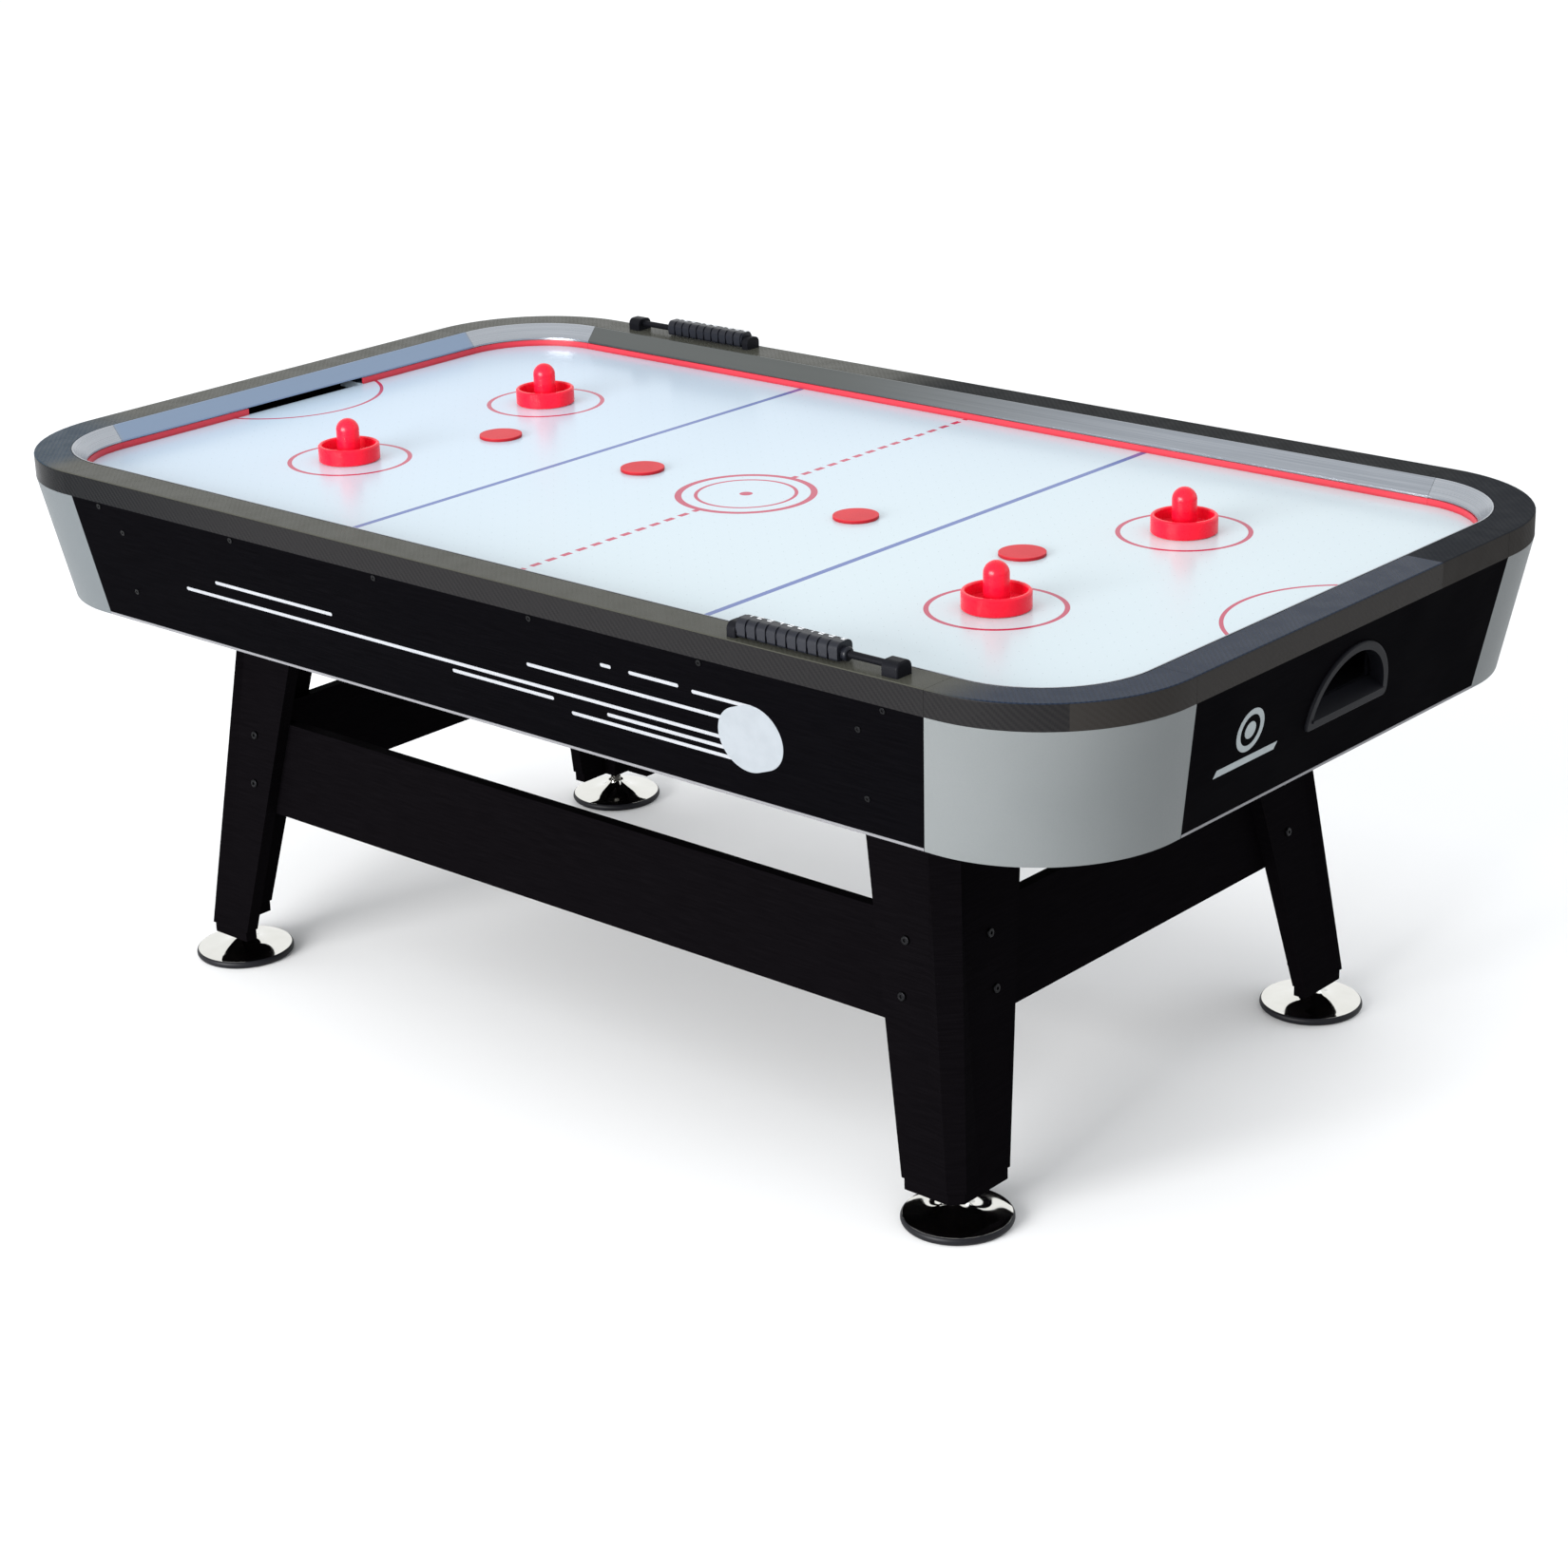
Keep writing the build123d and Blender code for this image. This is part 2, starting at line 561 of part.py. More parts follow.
def long_stretcher():
    """The deep board between the two front legs, lying on their inner faces."""
    def section(z):
        cx, cy = leg_corner(z)
        x, y = cx - LEG_BOARD, LEG_BOARD - cy
        return [(-x, y), (x, y), (x, y + STRETCHER), (-x, y + STRETCHER)]
    return taper(section, *STRETCHER_Z)


def end_stretcher():
    """The deep board between the two right legs, between the long stretchers."""
    def section(z):
        cx, cy = leg_corner(z)
        x, y = cx - LEG_BOARD, cy - LEG_BOARD - STRETCHER
        return [(x - STRETCHER, -y), (x, -y), (x, y), (x - STRETCHER, y)]
    return taper(section, *STRETCHER_Z)


def foot_pad():
    """Round levelling pad: a rubber rim below, a chromed dish that sweeps up to a collar."""
    edge, collar, rim_top = PAD_RADIUS - 3, 13, 12.5
    rim = ThreePointArc((PAD_RADIUS - 6, 0, 0), (PAD_RADIUS, 0, 6.5), (edge, 0, rim_top))
    dish = Spline((edge, 0, rim_top), (52, 0, 14.5), (30, 0, 19), (17, 0, 27), (collar, 0, PAD_TOP))
    under = Line((0, 0, 0), (PAD_RADIUS - 6, 0, 0))
    lid = Polyline((collar, 0, PAD_TOP), (0, 0, PAD_TOP), (0, 0, 0))
    pad = revolve(make_face([under, rim, dish, *lid.edges()]), Axis.Z)
    return pad - rod(STEM_RADIUS + RUNNING_FIT, 16, PAD_TOP + 1)


def foot_stem():
    """Threaded stem with a hexagon for a spanner."""
    stem = rod(STEM_RADIUS, 16, LEG_FOOT_Z + 60)
    return stem + Pos(0, 0, PAD_TOP + 0.4) * extrude(RegularPolygon(9.5, 6), 6)


# ---- loose pieces -------------------------------------------------------------------
def mallet():
    """Striker: a ring wall round a dished base, with a domed knob."""
    r = MALLET_RADIUS
    wall = [(r - 2, 0), (r, 2), (r, 24), (r - 2, 26), (r - 5, 26), (r - 6, 24), (r - 7, 10)]
    dish = [(24, 8), (MALLET_KNOB, 14), (0, 14)]
    base = revolve(make_face(Polyline([(x, 0, z) for x, z in [(0, 0), *wall, *dish]], close=True)), Axis.Z)
    top = MALLET_HEIGHT - MALLET_KNOB
    return base + rod(MALLET_KNOB, 14, top) + Pos(0, 0, top) * Sphere(MALLET_KNOB)


def puck():
    disc = rod(PUCK_RADIUS, 0, PUCK_HEIGHT)
    return fillet(disc.edges(), 0.8)


# ---- blower and power ---------------------------------------------------------------
def scroll(radius, width, outlet, top):
    """Drum on the fan's axis with a square duct going up on one side."""
    drum = Pos(0, 0, BLOWER_Z) * Rot(90, 0, 0) * Cylinder(radius, width)
    duct = block(OUTLET_X - outlet / 2, OUTLET_X + outlet / 2, -width / 2, width / 2, BLOWER_Z, top)
    return drum + duct


def blower_housing():
    """Fan housing under the air chamber, with its inlet on the front and the motor on the back."""
    top = CHAMBER_Z - FLOOR_BOARD
    shell = scroll(SCROLL_RADIUS, SCROLL_WIDTH, OUTLET + 2 * SCROLL_WALL, top)
    shell -= scroll(SCROLL_RADIUS - SCROLL_WALL, SCROLL_WIDTH - 2 * SCROLL_WALL, OUTLET, top + 1)
    inlet = Pos(0, -SCROLL_WIDTH / 2, BLOWER_Z) * Rot(90, 0, 0) * Cylinder(30, 3 * SCROLL_WALL)
    shaft_hole = Pos(0, SCROLL_WIDTH / 2, BLOWER_Z) * Rot(90, 0, 0) * Cylinder(8, 3 * SCROLL_WALL)
    return shell - inlet - shaft_hole


def blower_impeller():
    """Squirrel-cage fan: a back disc with blades, a rim and a hub bored for the motor shaft."""
    half = FAN_WIDTH / 2
    disc = rod(FAN_RADIUS, -half, -half + 2)
    rim = rod(FAN_RADIUS, half - 3, half) - rod(FAN_RADIUS - 4, half - 4, half + 1)
    hub = rod(9, -half, half - 12)
    blade = Pos(FAN_RADIUS - 4.5, 0, 0) * Rot(0, 0, 35) * Box(7, 1.4, FAN_WIDTH - 1)
    fan = disc + rim + hub + [Rot(0, 0, 15 * i) * blade for i in range(24)]
    fan -= rod(3 + RUNNING_FIT, -half - 1, half - 16)
    return Pos(0, 0, BLOWER_Z) * Rot(90, 0, 0) * fan


def blower_motor():
    """Motor can on the back of the housing, its shaft reaching into the fan's hub."""
    can = rod(30, 0, 44)
    can = fillet(can.edges().group_by(Axis.Z)[-1], 4)
    shaft = rod(3, -26, 0)
    return Pos(0, SCROLL_WIDTH / 2, BLOWER_Z) * Rot(-90, 0, 0) * (can + shaft)


def power_plane():
    """Local frame on the back apron where the power inlet sits."""
    plane = apron_plane("front")
    return Rot(0, 0, 180) * plane.location * Pos(INLET_X, slope_at(INLET_Z, APRON_IN_Y), 0)


def power_inlet():
    """Panel with a two-pin inlet and the pocket for the rocker switch."""
    plate = fillet(Box(62, 34, 2, align=(Align.CENTER, Align.CENTER, Align.MIN)).edges().filter_by(Axis.Z), 3)
    well = Pos(0, 0, -22) * Box(54, 26, 22, align=(Align.CENTER, Align.CENTER, Align.MIN))
    socket = Pos(-13, 0, -14) * extrude(SlotOverall(20, 12), 30)
    pins = [Pos(-13 + x, 0, -14) * rod(1.2, 0, 12) for x in (-4.3, 4.3)]
    seat = Pos(ROCKER_X, 0, -9) * Box(14, 20, 30, align=(Align.CENTER, Align.CENTER, Align.MIN))
    return power_plane() * (plate + well - socket - seat + pins)


def power_switch():
    """Rocker on two side pivots, bowed so that one end stands proud."""
    drum = Pos(0, 0, 1.5) * Rot(0, 90, 0) * Cylinder(9, 13)
    rocker = drum & (Pos(0, 0, 1.5) * Box(20, 19, 8))
    return power_plane() * Pos(ROCKER_X, 0, 0) * rocker


def inlet_cutout():
    return power_plane() * Box(54, 26, 60)


# ---- assembly -----------------------------------------------------------------------
def build_cabinet():
    front = apron_blank("front")
    screws = apron_screws()
    for one in screws:
        front -= one
    right = apron_blank("right") - pocket_window()
    save("front_apron", front)
    save("back_apron", turned(front) - inlet_cutout())
    save("right_apron", right)
    save("left_apron", turned(right))
    save("apron_screws", *screws, *[turned(s) for s in screws])
    save("apron_battens", *battens())
    save("bottom_panel", bottom_panel())
    shell = corner_shell()
    for name, (sx, sy) in QUADRANTS.items():
        save(name + "_corner_shell", to_quadrant(shell, sx, sy))


def build_top():
    save("playfield_board", playfield_board())
    save("air_chamber_floor", chamber_floor())
    save("air_chamber_ribs", *chamber_ribs())
    save("front_rail", long_rail())
    save("back_rail", turned(long_rail()))
    save("right_rail", end_rail())
    save("left_rail", turned(end_rail()))
    save("rail_corner_caps", *[to_quadrant(rail_cap(), sx, sy) for sx, sy in QUADRANTS.values()])
    save("bumper_extrusions", *bumpers())
    save("corner_bumpers", *corner_bumpers())
    save("cushion_strips", *cushion_strips())


def build_ends():
    for name, place in (("right", lambda s: s), ("left", turned)):
        save(name + "_goal_box", place(goal_box()))
        save(name + "_puck_pocket", place(pocket()))
    for name, place in (("front", lambda s: s), ("back", turned)):
        save(name + "_scorer_frame", *[place(piece) for piece in scorer_frame()])
        save(name + "_score_beads", *[place(one) for one in score_beads()])


def build_legs():
    one_leg, bolts = leg(), leg_bolts()
    front, right = long_stretcher(), end_stretcher()
    all_bolts = [to_quadrant(b, sx, sy) for b in bolts for sx, sy in QUADRANTS.values()]
    for bolt in all_bolts:
        front -= bolt
        right -= bolt
    save("front_stretcher", front)
    save("back_stretcher", turned(front))
    save("right_stretcher", right)
    save("left_stretcher", turned(right))
    save("leg_bolts", *all_bolts)
    for name, (sx, sy) in QUADRANTS.items():
        spot = Pos(sx * FOOT[0], sy * FOOT[1], 0)
        save(name + "_leg", to_quadrant(one_leg, sx, sy))
        save(name + "_foot_pad", spot * foot_pad())
        save(name + "_foot_stem", spot * foot_stem())


def build_loose_pieces():
    for name, (sx, sy) in QUADRANTS.items():
        save(name + "_mallet", Pos(sx * MALLET_SPOT[0], sy * MALLET_SPOT[1], FIELD_Z) * mallet())
    for number, (x, y) in enumerate(PUCK_SPOTS, start=1):
        save("puck_%d" % number, Pos(x, y, FIELD_Z) * puck())


def build_blower_and_power():
    save("blower_housing", blower_housing())
    save("blower_impeller", blower_impeller())
    save("blower_motor", blower_motor())
    save("power_inlet", power_inlet())
    save("power_switch", power_switch())


os.makedirs("parts", exist_ok=True)
build_cabinet()
build_top()
build_ends()
build_legs()
build_loose_pieces()
build_blower_and_power()
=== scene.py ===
"""Looks of the air hockey table: materials, small surface pieces, studio and camera.

Metres, in the CAD frame: X runs along the table, -Y is the long side with the speed lines,
+Z is up, and the floor is at zero.
"""
import json
from math import atan2, cos, hypot, pi, radians, sin

import bmesh
import bpy
from mathutils import Matrix, Vector


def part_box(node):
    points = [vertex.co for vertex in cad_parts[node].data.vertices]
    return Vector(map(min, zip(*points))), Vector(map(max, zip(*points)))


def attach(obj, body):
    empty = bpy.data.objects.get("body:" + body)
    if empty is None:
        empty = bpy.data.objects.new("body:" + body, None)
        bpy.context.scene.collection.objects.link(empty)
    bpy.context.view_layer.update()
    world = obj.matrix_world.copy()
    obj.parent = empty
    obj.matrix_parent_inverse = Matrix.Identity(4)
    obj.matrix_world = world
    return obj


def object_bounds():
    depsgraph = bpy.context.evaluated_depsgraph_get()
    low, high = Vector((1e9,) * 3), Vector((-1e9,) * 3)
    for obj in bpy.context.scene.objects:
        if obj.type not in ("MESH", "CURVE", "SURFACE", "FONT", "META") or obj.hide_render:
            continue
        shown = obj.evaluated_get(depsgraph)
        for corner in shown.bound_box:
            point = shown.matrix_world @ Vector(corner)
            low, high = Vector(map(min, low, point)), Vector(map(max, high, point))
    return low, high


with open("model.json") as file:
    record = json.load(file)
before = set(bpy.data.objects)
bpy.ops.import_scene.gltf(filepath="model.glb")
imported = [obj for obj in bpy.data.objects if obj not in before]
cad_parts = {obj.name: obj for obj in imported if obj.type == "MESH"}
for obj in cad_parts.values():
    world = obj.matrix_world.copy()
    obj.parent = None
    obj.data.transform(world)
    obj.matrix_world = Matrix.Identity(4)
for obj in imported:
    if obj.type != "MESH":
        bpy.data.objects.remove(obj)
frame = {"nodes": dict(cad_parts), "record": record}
cad_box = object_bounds()


def middle(node):
    """X and Y of the middle of a node's box."""
    low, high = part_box(node)
    return (low.x + high.x) / 2, (low.y + high.y) / 2


# ---- places read from the frame -------------------------------------------------------
FLOOR_Z = cad_box[0].z
RAIL_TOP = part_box("front_rail")[1].z
FIELD_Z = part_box("playfield_board")[1].z
APRON_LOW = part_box("front_apron")[0].z
HALF_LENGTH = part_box("right_rail")[1].x
HALF_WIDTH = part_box("back_rail")[1].y
BEAD_ROW_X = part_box("front_score_beads")[0].x
BEAD_ROW_Y = middle("front_score_beads")[1]
BEAD_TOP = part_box("front_score_beads")[1].z
APRON_LEAN_X, APRON_LEAN_Y = 0.036, 0.031      # how far the aprons lean in at the bottom
APRON_DROP = FIELD_Z - APRON_LOW
STEM_X, STEM_Y = middle("back_right_foot_stem")
MALLET_SPOT = middle("back_right_mallet")
THREAD_PITCH = 0.0015
RUBBER_TOP = 0.0124                            # the chrome of a foot begins at this height
PUCK_FACE = FIELD_Z + 0.0046                   # a puck's edge ends at this height

# ---- sizes of the printed marks -------------------------------------------------------
BLUE_LINE_X = 0.349
MALLET_RING = 0.094
CENTRE_RING, CENTRE_RING_INNER, CENTRE_DOT = 0.102, 0.0755, 0.010
CREASE_CENTRE, CREASE_RADIUS = 1.052, 0.166
DASH_PITCH, DASH_LENGTH, DASH_START = 0.0305, 0.0185, CENTRE_RING - 0.004
AIR_HOLE_PITCH, AIR_HOLE_RADIUS = 0.0254, 0.0006
# Half widths of the printed lines.
BLUE_HALF, DASH_HALF, RING_HALF, RING_INNER_HALF = 0.0054, 0.0048, 0.0052, 0.0028
MALLET_RING_HALF, CREASE_HALF = 0.0036, 0.0030
TOW = 0.0024                                   # width of a tow in the rails' printed weave

# ---- thin raised pieces: how deep they start in a surface and how far they stand off it
SINK, LINE_LIFT, MARK_LIFT, BAND_LIFT = -0.0002, 0.00035, 0.0004, 0.0006
PLATE_EDGE = 0.0002
BAND_FOOT, BAND_TOP, BAND_FLARE = APRON_LOW + 0.0006, APRON_LOW + 0.0046, 0.0006
FRONT_BAND_HALF, RIGHT_BAND_HALF = 0.8065, 0.3515

# Speed lines on the front apron: start X, end X, height.
SPEED_LINES = (
    (-0.593, 0.490, 0.685), (-0.520, -0.267, 0.708), (0.135, 0.500, 0.7145),
    (0.280, 0.2945, 0.7445), (0.332, 0.416, 0.744), (0.444, 0.544, 0.7412),
    (-0.021, 0.172, 0.672), (0.208, 0.500, 0.6575), (0.277, 0.495, 0.6705),
)
SPEED_LINE_HALF = 0.0026
SPEED_PUCK = ((0.525, 0.690), (0.544, 0.697), 0.0464)   # two centres and a radius

# ---- score beads: pitch, half width of the flat top and radius of its edge ------------
BEADS, BEAD_PITCH, BEAD_FLAT, BEAD_EDGE = 10, 0.017, 0.006, 0.009
# Both rows of numerals face +Y, so the back row is moved over and not turned.
TO_BACK_ROW = (-2 * BEAD_ROW_X - BEADS * BEAD_PITCH, -2 * BEAD_ROW_Y, 0)
DIGIT_WIDTH, DIGIT_HEIGHT, DIGIT_STROKE, DIGIT_LOW = 0.0062, 0.0105, 0.0009, 0.0030
DIGIT_TRIM, DIGIT_SPACE, DIGIT_SHIFT = 0.0004, 0.0018, 0.001
DIGIT_SINK, DIGIT_LIFT = -0.0003, 0.0005
# Strokes of the numerals in a unit box: a top, b and c right, d bottom, e and f left, g middle.
STROKES = {
    "a": ((0, 1), (1, 1)), "b": ((1, 1), (1, 0.5)), "c": ((1, 0.5), (1, 0)),
    "d": ((0, 0), (1, 0)), "e": ((0, 0), (0, 0.5)), "f": ((0, 0.5), (0, 1)),
    "g": ((0, 0.5), (1, 0.5)),
}
NUMERALS = (
    "abcdef", "bc", "abged", "abgcd", "fgbc", "afgcd", "afgedc", "abc", "abcdefg", "abcdfg",
)

# ---- the emblem on the end aprons: a puck seen from above over a bar ------------------
EMBLEM, EMBLEM_RING, EMBLEM_HOLE, EMBLEM_DOT = (-0.233, 0.714), 0.030, 0.0215, 0.012
EMBLEM_BAR = ((-0.302, 0.6665), (-0.166, 0.6665), (-0.160, 0.6765), (-0.296, 0.6765))

# ---- the camera: sensor and lens in millimetres; azimuth, elevation and roll in degrees
CAMERA_SENSOR, CAMERA_LENS = 36.0, 76.0931
CAMERA_ANGLES = (41.8175, 20.8928, -1.7433)
CAMERA_PLACE = (3.2232, -3.5376, RAIL_TOP + 1.3243)


# ---- node materials -------------------------------------------------------------------
class Shade:
    """A material built from small node expressions round one Principled shader."""

    def __init__(self, name, **constants):
        self.material = bpy.data.materials.new(name)
        self.material.use_nodes = True
        self.tree = self.material.node_tree
        self.shader = self.tree.nodes["Principled BSDF"]
        self.place = self.node("ShaderNodeTexCoord").outputs["Object"]
        self.x, self.y, self.z = self.parts(self.place)
        for socket, value in constants.items():
            self.shader.inputs[socket.replace("_", " ")].default_value = value

    def node(self, kind, **settings):
        """Add a node with the given settings."""
        made = self.tree.nodes.new(kind)
        for key, value in settings.items():
            setattr(made, key, value)
        return made

    def put(self, socket, value):
        """Link a socket to another socket, or set it to a constant."""
        if isinstance(value, bpy.types.NodeSocket):
            self.tree.links.new(value, socket)
        else:
            socket.default_value = value

    def parts(self, vector):
        split = self.node("ShaderNodeSeparateXYZ")
        self.put(split.inputs[0], vector)
        return split.outputs

    def vector(self, x, y, z=0.0):
        joined = self.node("ShaderNodeCombineXYZ")
        for socket, value in zip(joined.inputs, (x, y, z)):
            self.put(socket, value)
        return joined.outputs[0]

    def math(self, operation, *values):
        made = self.node("ShaderNodeMath", operation=operation)
        for socket, value in zip(made.inputs, values):
            self.put(socket, value)
        return made.outputs[0]

    def add(self, a, b):
        return self.math("ADD", a, b)

    def sub(self, a, b):
        return self.math("SUBTRACT", a, b)

    def mul(self, a, b):
        return self.math("MULTIPLY", a, b)

    def size(self, a):
        return self.math("ABSOLUTE", a)

    def distance(self, a, b):
        return self.math("SQRT", self.add(self.mul(a, a), self.mul(b, b)))

    def any_of(self, *masks):
        """The largest of several masks."""
        found = masks[0]
        for mask in masks[1:]:
            found = self.math("MAXIMUM", found, mask)
        return found

    def span(self, value, low, high, out_low=0.0, out_high=1.0):
        """Smooth step from out_low at low to out_high at high."""
        made = self.node("ShaderNodeMapRange", interpolation_type="SMOOTHSTEP")
        for socket, number in zip(made.inputs, (value, low, high, out_low, out_high)):
            self.put(socket, number)
        return made.outputs[0]

    def within(self, value, half, soft=0.0004):
        """One where a value is nearer to zero than half, with a soft edge."""
        return self.span(self.size(value), half - soft, half + soft, 1.0, 0.0)

    def noise(self, scale, detail=3.0, rough=0.5, stretch=(1, 1, 1), shift=0.0):
        moved = self.node("ShaderNodeMapping")
        moved.inputs["Location"].default_value = (shift,) * 3
        moved.inputs["Scale"].default_value = stretch
        self.put(moved.inputs["Vector"], self.place)
        made = self.node("ShaderNodeTexNoise")
        made.inputs["Scale"].default_value = scale
        made.inputs["Detail"].default_value = detail
        made.inputs["Roughness"].default_value = rough
        self.put(made.inputs["Vector"], moved.outputs[0])
        return made.outputs[0]

    def cells(self, scale):
        made = self.node("ShaderNodeTexVoronoi")
        made.inputs["Scale"].default_value = scale
        self.put(made.inputs["Vector"], self.place)
        return made.outputs["Distance"]

    def blend(self, factor, a, b):
        """Colour a where the factor is zero and b where it is one."""
        made = self.node("ShaderNodeMix", data_type="RGBA")
        self.put(made.inputs[0], factor)
        for socket, value in ((made.inputs[6], a), (made.inputs[7], b)):
            self.put(socket, value if isinstance(value, bpy.types.NodeSocket) else (*value, 1.0))
        return made.outputs[2]

    def done(self, colour, roughness, height, depth, strength, metallic=None):
        """Connect the results to the shader and return the material."""
        self.put(self.shader.inputs["Base Color"], colour)
        self.put(self.shader.inputs["Roughness"], roughness)
        if metallic is not None:
            self.put(self.shader.inputs["Metallic"], metallic)
        bump = self.node("ShaderNodeBump")
        bump.inputs["Strength"].default_value = strength
        bump.inputs["Distance"].default_value = depth
        self.put(bump.inputs["Height"], height)
        self.put(self.shader.inputs["Normal"], bump.outputs[0])
        return self.material


def field_laminate():
    """Glossy playing surface with the printed lines and the grid of air holes."""
    s = Shade("field_laminate", Specular_IOR_Level=0.35)
    ax, ay = s.size(s.x), s.size(s.y)
    from_middle = s.distance(s.x, s.y)
    blue = s.within(s.sub(ax, BLUE_LINE_X), BLUE_HALF)
    past_ring = s.sub(ay, DASH_START)
    dash = s.math("LESS_THAN", s.math("FLOORED_MODULO", past_ring, DASH_PITCH), DASH_LENGTH)
    dash = s.mul(dash, s.math("GREATER_THAN", past_ring, 0.0))
    dashes = s.mul(s.within(s.x, DASH_HALF), dash)
    ring = s.within(s.sub(from_middle, CENTRE_RING), RING_HALF)
    inner = s.within(s.sub(from_middle, CENTRE_RING_INNER), RING_INNER_HALF)
    dot = s.within(from_middle, CENTRE_DOT)
    spot = s.distance(s.sub(ax, MALLET_SPOT[0]), s.sub(ay, MALLET_SPOT[1]))
    spots = s.within(s.sub(spot, MALLET_RING), MALLET_RING_HALF)
    from_goal = s.distance(s.sub(ax, CREASE_CENTRE), s.y)
    crease = s.within(s.sub(from_goal, CREASE_RADIUS), CREASE_HALF)
    red = s.any_of(dashes, ring, inner, dot, spots, crease)
    hole_x = s.sub(s.math("FLOORED_MODULO", s.x, AIR_HOLE_PITCH), AIR_HOLE_PITCH / 2)
    hole_y = s.sub(s.math("FLOORED_MODULO", s.y, AIR_HOLE_PITCH), AIR_HOLE_PITCH / 2)
    hole = s.within(s.distance(hole_x, hole_y), AIR_HOLE_RADIUS, 0.0002)
    cloud = s.noise(2.5, 2.0)
    # Painted reflection: the sheet is painted darker and bluer towards the back left.
    far_end_painted_reflection = s.span(s.sub(s.mul(s.y, 0.5), s.x), -0.6, 1.0)
    sheet = s.blend(far_end_painted_reflection, (0.520, 0.605, 0.640), (0.464, 0.567, 0.673))
    sheet = s.blend(s.mul(cloud, 0.12), sheet, (0.50, 0.59, 0.66))
    red_ink = s.blend(cloud, (0.45, 0.016, 0.070), (0.38, 0.013, 0.060))
    colour = s.blend(blue, sheet, (0.075, 0.12, 0.34))
    colour = s.blend(red, colour, red_ink)
    colour = s.blend(hole, colour, (0.20, 0.25, 0.28))
    height = s.sub(s.noise(160.0, 2.0), s.mul(hole, 4.0))
    return s.done(colour, s.span(cloud, 0.2, 0.8, 0.20, 0.27), height, 0.00004, 0.35)


def carbon_laminate():
    """Printed twill weave under a clear film, running with each face of the rail.

    A tow crosses over two and under two, and each row is set off by one.
    """
    s = Shade("carbon_laminate", Specular_IOR_Level=0.04)
    nx, ny, nz = s.parts(s.node("ShaderNodeTexCoord").outputs["Normal"])
    flat = s.math("GREATER_THAN", s.size(nz), 0.6)
    facing_end = s.math("GREATER_THAN", s.size(nx), s.size(ny))
    run = s.add(s.mul(s.x, s.sub(1.0, facing_end)), s.mul(s.y, facing_end))
    run = s.add(s.mul(s.x, flat), s.mul(run, s.sub(1.0, flat)))
    rise = s.add(s.mul(s.y, flat), s.mul(s.z, s.sub(1.0, flat)))
    u, v = s.math("DIVIDE", run, TOW), s.math("DIVIDE", rise, TOW)
    turn = s.math("FLOORED_MODULO", s.add(s.math("FLOOR", u), s.math("FLOOR", v)), 4.0)
    warp_up = s.math("LESS_THAN", turn, 1.5)
    across_u = s.size(s.sub(s.math("FRACT", u), 0.5))
    across_v = s.size(s.sub(s.math("FRACT", v), 0.5))
    across = s.add(s.mul(across_u, warp_up), s.mul(across_v, s.sub(1.0, warp_up)))
    crown = s.sub(1.0, s.mul(s.mul(across, across), 3.6))
    # Painted reflection: the top of the film is painted darker and bluer at the right end and the
    # front left corner, and darkest on the right part of the back.
    right_end_painted_reflection = s.span(s.x, 0.82, 0.93)
    left_corner_painted_reflection = s.mul(s.span(s.x, -0.86, -0.93), s.span(s.y, -0.30, -0.46))
    # Painted reflection mask for the right part of the back; it also makes the film rougher there.
    back = s.mul(s.span(s.x, -0.25, -0.05), s.math("GREATER_THAN", s.y, 0.2))
    top = s.blend(warp_up, (0.052, 0.052, 0.042), (0.055, 0.055, 0.045))
    painted_reflection_right_top = s.blend(warp_up, (0.009, 0.015, 0.029), (0.015, 0.023, 0.041))
    painted_reflection_corner_top = s.blend(warp_up, (0.004, 0.019, 0.036), (0.006, 0.023, 0.043))
    top = s.blend(right_end_painted_reflection, top, painted_reflection_right_top)
    top = s.blend(left_corner_painted_reflection, top, painted_reflection_corner_top)
    top = s.blend(s.mul(back, 0.9), top, (0.010, 0.011, 0.013))
    # Painted light and shade on the sides: the front and back sides are painted darker and bluer
    # towards the left, and the sides facing the ends lighter.
    left_painted_shade = s.span(s.x, -0.3, -0.9)
    front_side = s.blend(left_painted_shade, (0.0100, 0.0096, 0.0102), (0.0036, 0.0041, 0.0050))
    side = s.blend(facing_end, front_side, (0.0200, 0.0180, 0.0165))
    side = s.blend(s.mul(warp_up, 0.2), side, (0.024, 0.023, 0.022))
    colour = s.blend(flat, side, top)
    colour = s.blend(s.mul(s.span(across, 0.30, 0.5), 0.08), colour, (0.014, 0.014, 0.014))
    rough = s.add(s.mul(warp_up, 0.06), s.span(s.noise(30.0), 0.3, 0.7, 0.22, 0.30))
    rough = s.add(rough, s.mul(back, 0.35))
    return s.done(colour, rough, crown, 0.00008, 0.15)


def board(name, base, glint, rough):
    """Black laminated fibreboard with a fine pressed grain along the board."""
    s = Shade(name, Specular_IOR_Level=glint)
    along, across = s.mul(s.add(s.x, s.y), 14.0), s.mul(s.sub(s.x, s.y), 14.0)
    grain = s.node("ShaderNodeTexNoise")
    grain.inputs["Scale"].default_value = 1.0
    grain.inputs["Detail"].default_value = 5.0
    s.put(grain.inputs["Vector"], s.vector(along, s.mul(s.z, 900.0), across))
    pores = grain.outputs[0]
    dust = s.noise(9.0, 4.0)
    light = tuple(c * 1.4 + 0.0002 for c in base)
    colour = s.blend(s.span(pores, 0.35, 0.7), base, light)
    rough = s.span(dust, 0.3, 0.7, rough - 0.05, rough + 0.06)
    return s.done(colour, rough, pores, 0.00008, 0.35)


